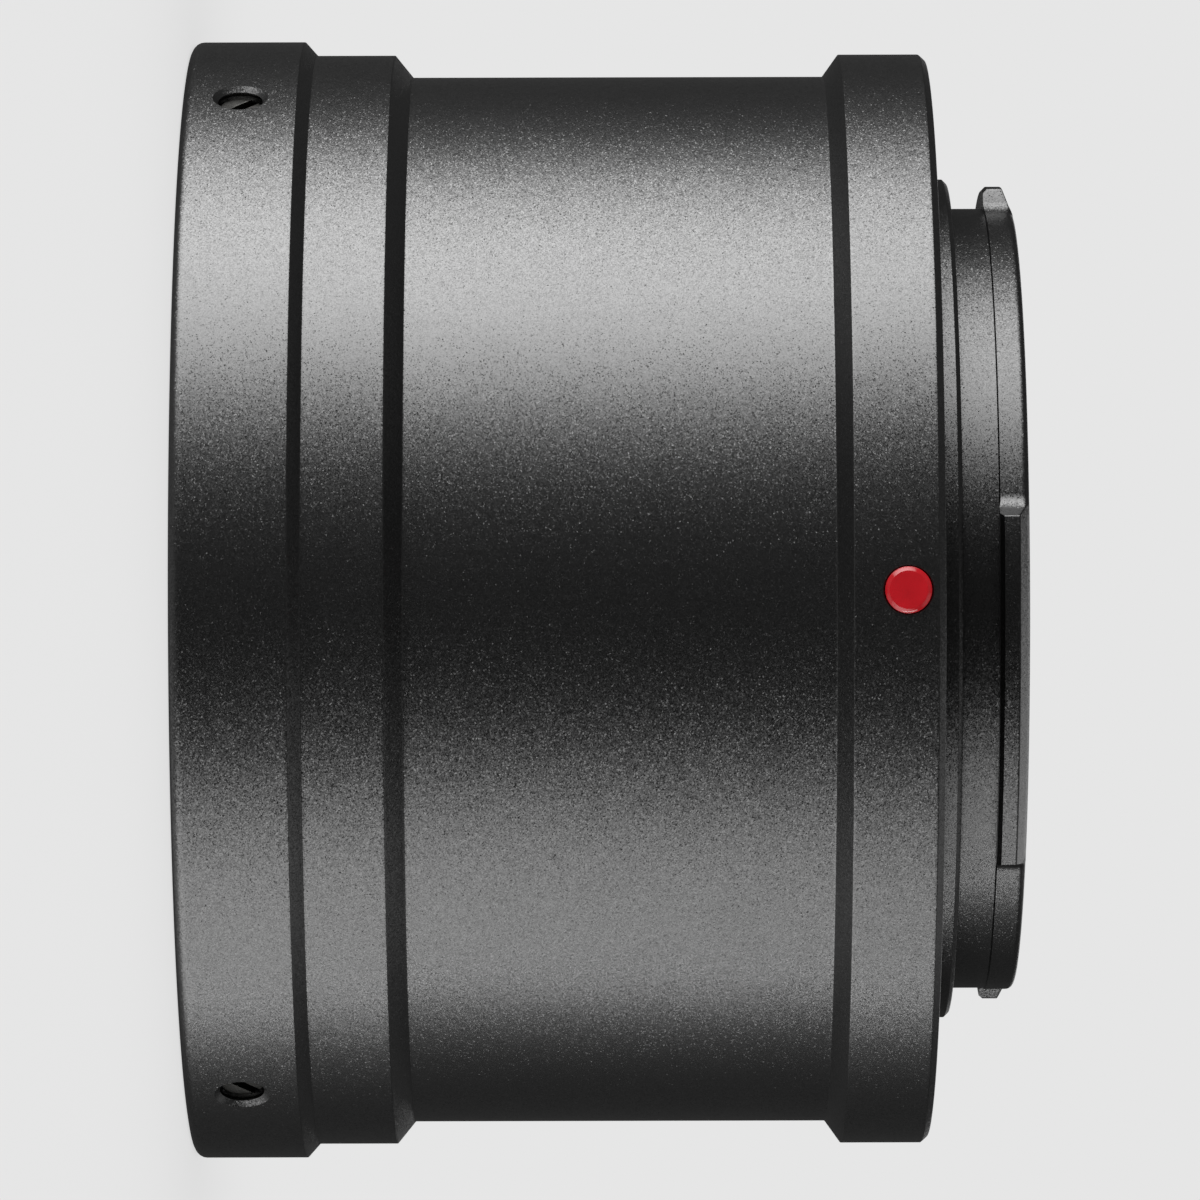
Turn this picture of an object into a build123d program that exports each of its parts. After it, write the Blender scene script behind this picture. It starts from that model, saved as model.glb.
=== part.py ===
from build123d import *
import os
from math import cos, radians, sin, sqrt

os.makedirs("parts", exist_ok=True)

# T-mount adapter for a mirrorless camera, all lengths in millimetres.
# Z is the optical axis. Z = 0 is the face that meets the telescope or T-mount lens,
# and the camera's bayonet is at the top. The red index bead faces -Y.
# Angles are in degrees, anticlockwise from the index bead seen from the camera's side.

# Registers that set the adapter's length
t_register = 55.0                  # T-thread shoulder to sensor
camera_register = 19.25            # camera's mount face to sensor
seat_height = 1.03                 # flange seat above the barrel's end face

# T thread, metric 60 degree form
thread_diameter = 42.0
thread_pitch = 0.75
thread_lead_in = 0.55              # chamfer at each mouth

# Ring that carries the T thread
t_ring_length = 6.0
t_ring_wall = 2.5                  # thread's root to the outside
t_ring_edge_chamfer = 0.2
v_groove_depth = 0.7               # 90 degree groove for the set screws' points
t_ring_clearance = 0.03            # running fit in the collar
t_ring_end_clearance = 0.1

# Barrel, from the telescope's side to the camera's side
collar_wall = 3.07
collar_length = 5.29
collar_face_round = 0.5
collar_slope_length = 0.58
band_length = 3.7
band_slope_length = 0.85
tube_shoulder = 1.3                # step that the T-thread ring sits against
tube_wall = 2.7
band_height = 1.05                 # band above the tube
flange_slope_length = 0.75
flange_length = 4.1
flange_wall = 2.41                 # camera flange around the bayonet ring's disc
flange_face_round = 0.6
mouth_chamfer = 0.3
cut_overrun = 0.05                 # cutters start this far outside the surface that they cut

# Baffle ridges that keep stray light down in the tube
baffle_pitch = 0.8
baffle_depth = 0.3
baffle_margin = 0.9

# Set screws that clamp the T-thread ring, plain at the root of their thread
set_screw_count = 3
set_screw_first_angle = 60.0
set_screw_from_face = 2.69
set_screw_diameter = 2.0
set_screw_clearance = 0.03
set_screw_length = 3.0
set_screw_point_gap = 0.07         # cone's apex above the bottom of the V groove
set_screw_point_blunting = 0.2
set_screw_slot_width = 0.5
set_screw_slot_depth = 0.8
set_screw_slot_angles = [-45.0, 12.0, 45.0]
set_screw_end_chamfer = 0.1
set_screw_mouth_chamfer = 0.2

# Bayonet ring
throat_diameter = 38.0             # opening in the camera's mount
throat_clearance = 0.4
bayonet_wall = 1.4
seat_width = 1.4
seat_edge_chamfer = 0.15
lug_gap = 1.7                      # flange seat to the lugs' backs
lug_thickness = 1.39
lug_height = 1.05
lug_back_round = 0.26
lug_front_length = 0.49            # axial length of the slope at the lug's front
lug_front_drop = 1.24
lug_ramp_angle = 4.5
lug_angle = 49.6
lug_first_angle = 14.65
lug_spacing = 120.0
key_lug = 1                        # wider than the others, so the mount fits one way only
key_lug_extra_angle = 8.5
core_step = 0.06                   # core between the lugs above the groove
core_front_round = 0.4
disc_margin = 3.5
disc_thickness = 1.62
disc_clearance = 0.04
web_lip = 1.4                      # straight part of the web's bore
web_overhang = 1.3                 # web's bore outside the bayonet's bore

# Countersunk screws that hold the bayonet ring
bayonet_screw_count = 4
bayonet_screw_first_angle = 45.0
bayonet_screw_diameter = 1.7
bayonet_screw_head_diameter = 3.0
bayonet_screw_length = 4.0
bayonet_screw_sink = 0.05          # head below the disc's face
bayonet_screw_head_clearance = 0.02
bayonet_screw_shank_clearance = 0.08
bayonet_screw_tap_clearance = 0.02
bayonet_screw_tap_spare = 0.4
bayonet_screw_turns = [12.0, 47.0, 78.0, 31.0]
cross_recess_width = 0.34
cross_recess_span = 1.7
cross_recess_depth = 0.6
cross_recess_taper = 12.0

# Pocket for the camera's lock pin
lock_pocket_angle = 90.0
lock_pocket_diameter = 2.6
lock_pocket_depth = 1.2

# Pin that stops the bayonet's turn
stop_pin_angle = -141.0
stop_pin_diameter = 1.0
stop_pin_rise = 0.85
stop_pin_depth = 1.0
stop_pin_chamfer = 0.12

# Red index bead
bead_diameter = 2.1
bead_from_face = 1.69
bead_seat_depth = 1.0
bead_rise = 0.2
bead_bevel = 0.19
bead_clearance = 0.03

# Heights along the optical axis
t_ring_seat_z = t_ring_length + t_ring_end_clearance
band_start_z = collar_length + collar_slope_length
band_end_z = band_start_z + band_length
tube_start_z = band_end_z + band_slope_length
seat_z = t_register - camera_register
flange_face_z = seat_z - seat_height
flange_start_z = flange_face_z - flange_length
tube_end_z = flange_start_z - flange_slope_length
disc_back_z = flange_face_z - disc_thickness
lug_back_z = seat_z + lug_gap
front_z = lug_back_z + lug_thickness

# Radii around the optical axis
thread_root_radius = thread_diameter / 2
thread_depth = thread_pitch * sqrt(3) / 2 * 5 / 8
thread_crest_radius = thread_root_radius - thread_depth
t_ring_radius = thread_root_radius + t_ring_wall
t_ring_seat_radius = t_ring_radius + t_ring_clearance
collar_radius = t_ring_seat_radius + collar_wall
bore_radius = t_ring_radius - tube_shoulder
tube_radius = bore_radius + tube_wall
band_radius = tube_radius + band_height
groove_radius = throat_diameter / 2 - throat_clearance
bayonet_bore_radius = groove_radius - bayonet_wall
core_radius = groove_radius + core_step
lug_radius = groove_radius + lug_height
seat_radius = groove_radius + seat_width
disc_radius = seat_radius + disc_margin
disc_seat_radius = disc_radius + disc_clearance
flange_radius = disc_seat_radius + flange_wall
web_bore_radius = bayonet_bore_radius + web_overhang
web_lip_z = disc_back_z - web_lip
web_start_z = web_lip_z - (bore_radius - web_bore_radius)


def direction(angle):
    """Unit direction across the optical axis."""
    turned = radians(angle - 90)
    return Vector(cos(turned), sin(turned), 0)


def outward_plane(angle, radius, height):
    """Plane that faces away from the optical axis, with its X along the axis."""
    outwards = direction(angle)
    return Plane(origin=outwards * radius + Vector(0, 0, height), x_dir=(0, 0, 1), z_dir=outwards)


set_screw_angles = [set_screw_first_angle + 360 / set_screw_count * i for i in range(set_screw_count)]
bayonet_screw_angles = [
    bayonet_screw_first_angle + 360 / bayonet_screw_count * i for i in range(bayonet_screw_count)
]
bayonet_screw_circle = (seat_radius + disc_radius) / 2
set_screw_hole_radius = set_screw_diameter / 2 + set_screw_clearance


# Barrel: collar, band, tube and camera flange turned from one piece
baffle_start_z = t_ring_seat_z + baffle_margin
baffle_count = int((web_start_z - baffle_margin - baffle_start_z) / baffle_pitch)

with BuildPart() as barrel:
    with BuildSketch(Plane.XZ):
        with BuildLine():
            Polyline(
                (t_ring_seat_radius + mouth_chamfer, 0),
                (collar_radius, 0),
                (collar_radius, collar_length),
                (band_radius, band_start_z),
                (band_radius, band_end_z),
                (tube_radius, tube_start_z),
                (tube_radius, tube_end_z),
                (flange_radius, flange_start_z),
                (flange_radius, flange_face_z),
                (disc_seat_radius, flange_face_z),
                (disc_seat_radius, disc_back_z),
                (web_bore_radius, disc_back_z),
                (web_bore_radius, web_lip_z),
                (bore_radius, web_start_z),
                (bore_radius, t_ring_seat_z),
                (t_ring_seat_radius, t_ring_seat_z),
                (t_ring_seat_radius, mouth_chamfer),
                close=True,
            )
        make_face()
    revolve(axis=Axis.Z)
    collar_rim = edges().group_by(Axis.Z)[0].sort_by(SortBy.RADIUS)[-1]
    fillet(collar_rim, radius=collar_face_round)
    flange_rim = edges().group_by(Axis.Z)[-1].sort_by(SortBy.RADIUS)[-1]
    fillet(flange_rim, radius=flange_face_round)

    with BuildSketch(Plane.XZ):
        for i in range(baffle_count):
            ridge_z = baffle_start_z + baffle_pitch * i
            with BuildLine():
                Polyline(
                    (bore_radius - baffle_depth, ridge_z),
                    (bore_radius + baffle_depth, ridge_z),
                    (bore_radius - baffle_depth, ridge_z + baffle_pitch),
                    close=True,
                )
            make_face()
    revolve(axis=Axis.Z, mode=Mode.SUBTRACT)

    for angle in set_screw_angles:
        with Locations(outward_plane(angle, collar_radius, set_screw_from_face)):
            Hole(radius=set_screw_hole_radius, depth=collar_wall + mouth_chamfer)
        with Locations(outward_plane(angle, collar_radius + cut_overrun, set_screw_from_face)):
            Cone(
                bottom_radius=set_screw_hole_radius,
                top_radius=set_screw_hole_radius + set_screw_mouth_chamfer + cut_overrun,
                height=set_screw_mouth_chamfer + cut_overrun,
                align=(Align.CENTER, Align.CENTER, Align.MAX),
                mode=Mode.SUBTRACT,
            )
    with Locations(Plane.XY.offset(disc_back_z)):
        with PolarLocations(bayonet_screw_circle, bayonet_screw_count, bayonet_screw_first_angle - 90):
            Hole(
                radius=bayonet_screw_diameter / 2 + bayonet_screw_tap_clearance,
                depth=bayonet_screw_length - disc_thickness + bayonet_screw_tap_spare,
            )
    with Locations(outward_plane(0, flange_radius, flange_face_z - bead_from_face)):
        Hole(radius=bead_diameter / 2 + bead_clearance, depth=bead_seat_depth)
barrel.part.label = "barrel"
export_step(barrel.part, "parts/barrel.step")


# T-thread ring: turns in the collar, clamped by the set screws in its V groove
thread_half_width = thread_pitch * 3 / 8

with BuildPart() as t_thread_ring:
    with BuildSketch(Plane.XZ):
        with BuildLine():
            Polyline(
                (thread_crest_radius, thread_lead_in),
                (thread_crest_radius + thread_lead_in, 0),
                (t_ring_radius - t_ring_edge_chamfer, 0),
                (t_ring_radius, t_ring_edge_chamfer),
                (t_ring_radius, set_screw_from_face - v_groove_depth),
                (t_ring_radius - v_groove_depth, set_screw_from_face),
                (t_ring_radius, set_screw_from_face + v_groove_depth),
                (t_ring_radius, t_ring_length - t_ring_edge_chamfer),
                (t_ring_radius - t_ring_edge_chamfer, t_ring_length),
                (thread_crest_radius + thread_lead_in, t_ring_length),
                (thread_crest_radius, t_ring_length - thread_lead_in),
                close=True,
            )
        make_face()
    revolve(axis=Axis.Z)

    with BuildLine() as thread_path:
        Helix(
            pitch=thread_pitch,
            height=t_ring_length + 2 * thread_pitch,
            radius=thread_crest_radius,
            center=(0, 0, -thread_pitch),
        )
    with BuildSketch(Plane(thread_path.line @ 0, x_dir=(1, 0, 0), z_dir=thread_path.line % 0)):
        with BuildLine():
            Polyline(
                (-cut_overrun, thread_half_width + cut_overrun / sqrt(3)),
                (thread_depth, thread_half_width - thread_depth / sqrt(3)),
                (thread_depth, -thread_half_width + thread_depth / sqrt(3)),
                (-cut_overrun, -thread_half_width - cut_overrun / sqrt(3)),
                close=True,
            )
        make_face()
    sweep(path=thread_path.line, is_frenet=True, mode=Mode.SUBTRACT)
t_thread_ring.part.label = "t_thread_ring"
export_step(t_thread_ring.part, "parts/t_thread_ring.step")


# Set screws: slotted, with a cone point, one in each tapped hole of the collar
set_screw_radius = set_screw_diameter / 2
point_radius = t_ring_radius - v_groove_depth + set_screw_point_gap + set_screw_point_blunting

for number, (angle, slot_angle) in enumerate(zip(set_screw_angles, set_screw_slot_angles), start=1):
    screw_base = outward_plane(angle, point_radius, set_screw_from_face)
    with BuildPart() as set_screw:
        with BuildSketch(Plane(screw_base.origin, x_dir=screw_base.x_dir, z_dir=screw_base.y_dir)):
            with BuildLine():
                Polyline(
                    (0, 0),
                    (set_screw_point_blunting, 0),
                    (set_screw_radius, -(set_screw_radius - set_screw_point_blunting)),
                    (set_screw_radius, -(set_screw_length - set_screw_end_chamfer)),
                    (set_screw_radius - set_screw_end_chamfer, -set_screw_length),
                    (0, -set_screw_length),
                    close=True,
                )
            make_face()
        revolve(axis=Axis(screw_base.origin, screw_base.z_dir))
        with BuildSketch(screw_base.offset(set_screw_length)):
            Rectangle(2 * set_screw_diameter, set_screw_slot_width, rotation=slot_angle)
        extrude(amount=-set_screw_slot_depth, mode=Mode.SUBTRACT)
    set_screw.part.label = f"set_screw_{number}"
    export_step(set_screw.part, f"parts/set_screw_{number}.step")


# Lugs: a ring of the lugs' profile, kept only where the plan has a lug
lug_root_radius = groove_radius - bayonet_wall / 2

with BuildPart() as lugs:
    with BuildSketch(Plane.XZ):
        with BuildLine():
            Polyline(
                (lug_root_radius, lug_back_z),
                (lug_radius, lug_back_z),
                (lug_radius, front_z - lug_front_length),
                (lug_radius - lug_front_drop, front_z),
                (lug_root_radius, front_z),
                close=True,
            )
        make_face()
    revolve(axis=Axis.Z)
    back_rim = edges().group_by(Axis.Z)[0].sort_by(SortBy.RADIUS)[-1]
    fillet(back_rim, radius=lug_back_round)

    with BuildSketch(Plane.XY.offset(lug_back_z)):
        for i in range(3):
            lug_end = lug_first_angle + lug_spacing * i + lug_angle / 2
            lug_start = lug_end - lug_angle - (key_lug_extra_angle if i == key_lug else 0)
            first_foot = direction(lug_start - lug_ramp_angle) * groove_radius
            last_foot = direction(lug_end + lug_ramp_angle) * groove_radius
            first_top = first_foot + (direction(lug_start) * lug_radius - first_foot) * 1.2
            last_top = last_foot + (direction(lug_end) * lug_radius - last_foot) * 1.2
            with BuildLine():
                Polyline(
                    first_top,
                    first_foot,
                    direction(lug_start - lug_ramp_angle) * lug_root_radius,
                    direction((lug_start + lug_end) / 2) * lug_root_radius,
                    direction(lug_end + lug_ramp_angle) * lug_root_radius,
                    last_foot,
                    last_top,
                )
                ThreePointArc(first_top, direction((lug_start + lug_end) / 2) * first_top.length, last_top)
            make_face()
    extrude(amount=lug_thickness, mode=Mode.INTERSECT)


# Bayonet ring: disc in the barrel's end, flange seat, groove and core with the lugs
with BuildPart() as bayonet_ring:
    with BuildSketch(Plane.XZ):
        with BuildLine():
            Polyline(
                (bayonet_bore_radius, disc_back_z),
                (disc_radius, disc_back_z),
                (disc_radius, flange_face_z),
                (seat_radius, flange_face_z),
                (seat_radius, seat_z - seat_edge_chamfer),
                (seat_radius - seat_edge_chamfer, seat_z),
                (groove_radius, seat_z),
                (groove_radius, lug_back_z),
                (core_radius, lug_back_z),
                (core_radius, front_z),
                (bayonet_bore_radius, front_z),
                close=True,
            )
        make_face()
    revolve(axis=Axis.Z)
    core_rim = edges().group_by(Axis.Z)[-1].sort_by(SortBy.RADIUS)[-1]
    fillet(core_rim, radius=core_front_round)
    add(lugs.part)

    with Locations(Plane.XY.offset(flange_face_z)):
        with PolarLocations(bayonet_screw_circle, bayonet_screw_count, bayonet_screw_first_angle - 90):
            CounterSinkHole(
                radius=bayonet_screw_diameter / 2 + bayonet_screw_shank_clearance,
                counter_sink_radius=(
                    bayonet_screw_head_diameter / 2 + bayonet_screw_sink + bayonet_screw_head_clearance
                ),
                depth=disc_thickness,
                counter_sink_angle=90,
            )
        with PolarLocations(bayonet_screw_circle, 1, lock_pocket_angle - 90):
            Hole(radius=lock_pocket_diameter / 2, depth=lock_pocket_depth)
    with Locations(outward_plane(stop_pin_angle, groove_radius, seat_z + lug_gap / 2)):
        Hole(radius=stop_pin_diameter / 2, depth=stop_pin_depth)
bayonet_ring.part.label = "bayonet_ring"
export_step(bayonet_ring.part, "parts/bayonet_ring.step")


# Bayonet screws: countersunk heads with a cross recess, all in one node
bayonet_screw_head_height = (bayonet_screw_head_diameter - bayonet_screw_diameter) / 2

with BuildPart() as bayonet_screws:
    for angle, turn in zip(bayonet_screw_angles, bayonet_screw_turns):
        head_centre = direction(angle) * bayonet_screw_circle + Vector(0, 0, flange_face_z - bayonet_screw_sink)
        head_plane = Plane(head_centre).rotated((0, 0, turn))
        with Locations(head_plane):
            Cylinder(
                radius=bayonet_screw_diameter / 2,
                height=bayonet_screw_length - bayonet_screw_sink,
                align=(Align.CENTER, Align.CENTER, Align.MAX),
            )
            Cone(
                bottom_radius=bayonet_screw_diameter / 2,
                top_radius=bayonet_screw_head_diameter / 2,
                height=bayonet_screw_head_height,
                align=(Align.CENTER, Align.CENTER, Align.MAX),
            )
        with BuildSketch(head_plane):
            Rectangle(cross_recess_span, cross_recess_width)
            Rectangle(cross_recess_width, cross_recess_span)
        extrude(amount=-cross_recess_depth, taper=cross_recess_taper, mode=Mode.SUBTRACT)
bayonet_screws.part.label = "bayonet_screws"
export_step(bayonet_screws.part, "parts/bayonet_screws.step")


# Stop pin: pressed into the groove beside a lug, on the side away from the index bead
with BuildPart() as stop_pin:
    with BuildSketch(outward_plane(stop_pin_angle, groove_radius - stop_pin_depth, seat_z + lug_gap / 2)):
        Circle(stop_pin_diameter / 2)
    extrude(amount=stop_pin_depth + stop_pin_rise)
    pin_end = edges().sort_by_distance((0, 0, seat_z))[-1]
    chamfer(pin_end, length=stop_pin_chamfer)
stop_pin.part.label = "stop_pin"
export_step(stop_pin.part, "parts/stop_pin.step")


# Index bead: a red disc with a bevelled rim, pressed into the camera flange
with BuildPart() as index_bead:
    with BuildSketch(outward_plane(0, flange_radius - bead_seat_depth, flange_face_z - bead_from_face)):
        Circle(bead_diameter / 2)
    extrude(amount=bead_seat_depth + bead_rise)
    chamfer(edges().sort_by(Axis.Y)[0], length=bead_bevel)
index_bead.part.label = "index_bead"
export_step(index_bead.part, "parts/index_bead.step")
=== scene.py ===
import bpy
import bmesh
from math import ceil, cos, pi, radians, sin, tan
from mathutils import Matrix, Vector


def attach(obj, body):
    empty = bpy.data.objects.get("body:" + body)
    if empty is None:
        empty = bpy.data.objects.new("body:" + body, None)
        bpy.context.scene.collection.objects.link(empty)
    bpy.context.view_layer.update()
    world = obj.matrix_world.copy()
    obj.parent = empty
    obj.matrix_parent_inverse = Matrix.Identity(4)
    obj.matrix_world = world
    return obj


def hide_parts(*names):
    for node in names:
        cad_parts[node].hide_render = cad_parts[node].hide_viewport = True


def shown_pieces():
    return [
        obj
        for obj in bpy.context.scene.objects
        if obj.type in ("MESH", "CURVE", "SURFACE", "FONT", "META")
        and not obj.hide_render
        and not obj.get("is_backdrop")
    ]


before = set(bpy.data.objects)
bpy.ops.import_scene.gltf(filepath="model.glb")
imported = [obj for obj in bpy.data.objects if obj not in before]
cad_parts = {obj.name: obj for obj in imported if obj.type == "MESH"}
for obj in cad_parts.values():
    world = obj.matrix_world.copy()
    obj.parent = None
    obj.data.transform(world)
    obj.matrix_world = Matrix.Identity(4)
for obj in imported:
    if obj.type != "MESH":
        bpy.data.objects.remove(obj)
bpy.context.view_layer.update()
print("frame loaded:", len(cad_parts), "nodes")

mm = 0.001


# Directions round the optical axis are degrees anticlockwise from the red bead, seen from the camera's side.
def direction(angle):
    return Vector((sin(radians(angle)), -cos(radians(angle)), 0.0))


def linearColour(hexCode):
    parts = [int(hexCode[i:i + 2], 16) / 255 for i in (1, 3, 5)]
    return [p / 12.92 if p <= 0.04045 else ((p + 0.055) / 1.055) ** 2.4 for p in parts] + [1.0]


# One node, its settings and what feeds it: an input takes a value, a socket or another node's first output.
def addNode(tree, kind, settings=None, inputs=None):
    node = tree.nodes.new(kind)
    for name, value in (settings or {}).items():
        setattr(node, name, value)
    for name, value in (inputs or {}).items():
        if isinstance(value, bpy.types.Node):
            value = value.outputs[0]
        if isinstance(value, bpy.types.NodeSocket):
            tree.links.new(value, node.inputs[name])
        else:
            node.inputs[name].default_value = value
    return node


def newTree(name, sockets):
    tree = bpy.data.node_groups.new(name, "GeometryNodeTree")
    for label, kind in sockets.items():
        tree.interface.new_socket(label, in_out="INPUT", socket_type=kind)
    tree.interface.new_socket("Geometry", in_out="OUTPUT", socket_type="NodeSocketGeometry")
    return tree


# Every tree ends in real geometry with its finish on.
def endTree(tree, given, geometry):
    real = addNode(tree, "GeometryNodeRealizeInstances", None, {"Geometry": geometry})
    dressed = addNode(tree, "GeometryNodeSetMaterial", None, {"Geometry": real, "Material": given.outputs["Finish"]})
    addNode(tree, "NodeGroupOutput", None, {"Geometry": dressed})
    return tree


# Places from a share of a turn, a radius and a height.
def wrapRound(tree, share, radius, height):
    angle = addNode(tree, "ShaderNodeMath", {"operation": "MULTIPLY"}, {0: share, 1: 2 * pi})
    cosine = addNode(tree, "ShaderNodeMath", {"operation": "COSINE"}, {0: angle})
    sine = addNode(tree, "ShaderNodeMath", {"operation": "SINE"}, {0: angle})
    x = addNode(tree, "ShaderNodeMath", {"operation": "MULTIPLY"}, {0: radius, 1: cosine})
    y = addNode(tree, "ShaderNodeMath", {"operation": "MULTIPLY"}, {0: radius, 1: sine})
    return addNode(tree, "ShaderNodeCombineXYZ", None, {"X": x, "Y": y, "Z": height})


def link(name, mesh):
    made = bpy.data.objects.new(name, mesh)
    bpy.context.scene.collection.objects.link(made)
    return made


# The evaluated object as a plain mesh, with its modifiers gone.
def bakeModifiers(made):
    bpy.context.view_layer.update()
    evaluated = made.evaluated_get(bpy.context.evaluated_depsgraph_get())
    mesh = bpy.data.meshes.new_from_object(evaluated)
    made.modifiers.clear()
    made.data = mesh
    mesh.name = made.name
    return made


def bakeTree(name, mesh, tree, values):
    made = link(name, mesh)
    modifier = made.modifiers.new(tree.name, "NODES")
    modifier.node_group = tree
    for item in tree.interface.items_tree:
        if item.item_type == "SOCKET" and item.in_out == "INPUT" and item.name in values:
            modifier[item.identifier] = values[item.name]
    return bakeModifiers(made)


weldDistance = 0.0004 * mm  # points nearer than this become one
cutWeldDistance = 0.0001 * mm  # the same after a cut, which leaves points close together


# Closed shells face outwards, and edges sharper than the angle stay crisp.
def finishMesh(made, sharpAngle=38, weld=weldDistance):
    work = bmesh.new()
    work.from_mesh(made.data)
    bmesh.ops.remove_doubles(work, verts=work.verts, dist=weld)
    bmesh.ops.dissolve_degenerate(work, edges=work.edges, dist=weld / 2)
    bmesh.ops.recalc_face_normals(work, faces=work.faces)
    work.to_mesh(made.data)
    work.free()
    for face in made.data.polygons:
        face.use_smooth = True
    made.data.set_sharp_from_angle(angle=radians(sharpAngle))
    return made


def cutAway(made, cutter):
    modifier = made.modifiers.new("cut", "BOOLEAN")
    modifier.operation = "DIFFERENCE"
    modifier.solver = "EXACT"
    modifier.object = cutter
    bakeModifiers(made)
    bpy.data.objects.remove(cutter)
    return made


# Turns a piece made round its own Z so that Z points outwards from the optical axis, at that angle and height.
def faceOutwards(made, angle, radius, height):
    outwards = direction(angle)
    sideways = Vector((0, 0, 1)).cross(outwards)
    turn = Matrix((sideways, Vector((0, 0, 1)), outwards)).transposed().to_4x4()
    turn.translation = outwards * radius + Vector((0, 0, height))
    made.data.transform(turn)
    return made


def paint(made, material):
    made.data.materials.clear()
    made.data.materials.append(material)
    return made


# A turned outline from its corners (radius, height, rounding) in mm. An arc has a point every arcStep degrees, and a
# long run one near each end and one every gap, so that shading stays flat between the corners.
def turnedOutline(corners, closed=True, arcStep=18, gap=1.6, support=0.1):
    count = len(corners)
    rounded = []
    for i, (x, z, size) in enumerate(corners):
        here = Vector((x, z))
        if size <= 0 or (not closed and i in (0, count - 1)):
            rounded.append([here])
            continue
        before = (Vector(corners[i - 1][:2]) - here).normalized()
        after = (Vector(corners[(i + 1) % count][:2]) - here).normalized()
        half = before.angle(after) / 2
        reach = size / tan(half)
        centre = here + (before + after).normalized() * (size / sin(half))
        start, end = here + before * reach - centre, here + after * reach - centre
        steps = max(2, ceil((pi - 2 * half) / radians(arcStep)))
        rounded.append([centre + start.slerp(end, k / steps) * size for k in range(steps + 1)])
    points = []
    for i, arc in enumerate(rounded):
        points += arc
        if not closed and i == count - 1:
            break
        start, end = arc[-1], rounded[(i + 1) % count][0]
        length = (end - start).length
        if length > 3 * support:
            inner = length - 2 * support
            steps = ceil(inner / gap)
            along = [support + inner * k / steps for k in range(steps + 1)]
            points += [start.lerp(end, a / length) for a in along]
    if closed:
        points.append(points[0].copy())
    return points


def outlineMesh(name, points):
    mesh = bpy.data.meshes.new(name)
    places = [(p.x * mm, 0.0, p.y * mm) for p in points]
    mesh.from_pydata(places, [(i, i + 1) for i in range(len(places) - 1)], [])
    return mesh


# Turned part: the outline's points become the rows of a grid that is wrapped round Z.
def buildTurnedTree():
    tree = newTree("turnedPart", {"Geometry": "NodeSocketGeometry", "Segments": "NodeSocketInt",
                                  "Finish": "NodeSocketMaterial"})
    given = addNode(tree, "NodeGroupInput")
    outline, segments = given.outputs["Geometry"], given.outputs["Segments"]
    size = addNode(tree, "GeometryNodeAttributeDomainSize", {"component": "MESH"}, {"Geometry": outline})
    last = addNode(tree, "ShaderNodeMath", {"operation": "SUBTRACT"}, {0: size.outputs["Point Count"], 1: 1.0})
    across = addNode(tree, "ShaderNodeMath", {"operation": "ADD"}, {0: segments, 1: 1.0})
    grid = addNode(tree, "GeometryNodeMeshGrid", None, {
        "Size X": last, "Size Y": 1.0, "Vertices X": size.outputs["Point Count"], "Vertices Y": across})
    place = addNode(tree, "GeometryNodeInputPosition")
    split = addNode(tree, "ShaderNodeSeparateXYZ", None, {0: place})
    halfway = addNode(tree, "ShaderNodeMath", {"operation": "MULTIPLY"}, {0: last, 1: 0.5})
    row = addNode(tree, "ShaderNodeMath", {"operation": "ADD"}, {0: split.outputs["X"], 1: halfway})
    whole = addNode(tree, "ShaderNodeMath", {"operation": "ROUND"}, {0: row})
    sample = addNode(tree, "GeometryNodeSampleIndex", {"data_type": "FLOAT_VECTOR", "domain": "POINT"}, {
        "Geometry": outline, "Value": place, "Index": whole})
    point = addNode(tree, "ShaderNodeSeparateXYZ", None, {0: sample})
    share = addNode(tree, "ShaderNodeMath", {"operation": "ADD"}, {0: split.outputs["Y"], 1: 0.5})
    wrapped = wrapRound(tree, share, point.outputs["X"], point.outputs["Z"])
    bent = addNode(tree, "GeometryNodeSetPosition", None, {"Geometry": grid.outputs["Mesh"], "Position": wrapped})
    welded = addNode(tree, "GeometryNodeMergeByDistance", None, {"Geometry": bent, "Distance": weldDistance})
    return endTree(tree, given, welded)


# Ring of parts: copies of one part round the optical axis, each given its own turn.
def buildRingTree():
    tree = newTree("ringOfParts", {
        "Geometry": "NodeSocketGeometry", "Count": "NodeSocketInt", "Radius": "NodeSocketFloat",
        "Height": "NodeSocketFloat", "First Angle": "NodeSocketFloat", "Spread Of Turns": "NodeSocketFloat",
        "Seed": "NodeSocketInt", "Finish": "NodeSocketMaterial"})
    given = addNode(tree, "NodeGroupInput")
    count, radius = given.outputs["Count"], given.outputs["Radius"]
    circle = addNode(tree, "GeometryNodeMeshCircle", None, {"Vertices": count, "Radius": radius})
    lift = addNode(tree, "ShaderNodeCombineXYZ", None, {"Z": given.outputs["Height"]})
    spin = addNode(tree, "ShaderNodeCombineXYZ", None, {"Z": given.outputs["First Angle"]})
    placed = addNode(tree, "GeometryNodeTransform", None, {
        "Geometry": circle.outputs["Mesh"], "Translation": lift, "Rotation": spin})
    turn = addNode(tree, "FunctionNodeRandomValue", {"data_type": "FLOAT"}, {
        "Min": 0.0, "Max": given.outputs["Spread Of Turns"], "Seed": given.outputs["Seed"]})
    turned = addNode(tree, "ShaderNodeCombineXYZ", None, {"Z": turn.outputs["Value"]})
    copies = addNode(tree, "GeometryNodeInstanceOnPoints", None, {
        "Points": placed, "Instance": given.outputs["Geometry"], "Rotation": turned})
    return endTree(tree, given, copies)


turnedTree = buildTurnedTree()
ringTree = buildRingTree()
print("trees built")


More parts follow.
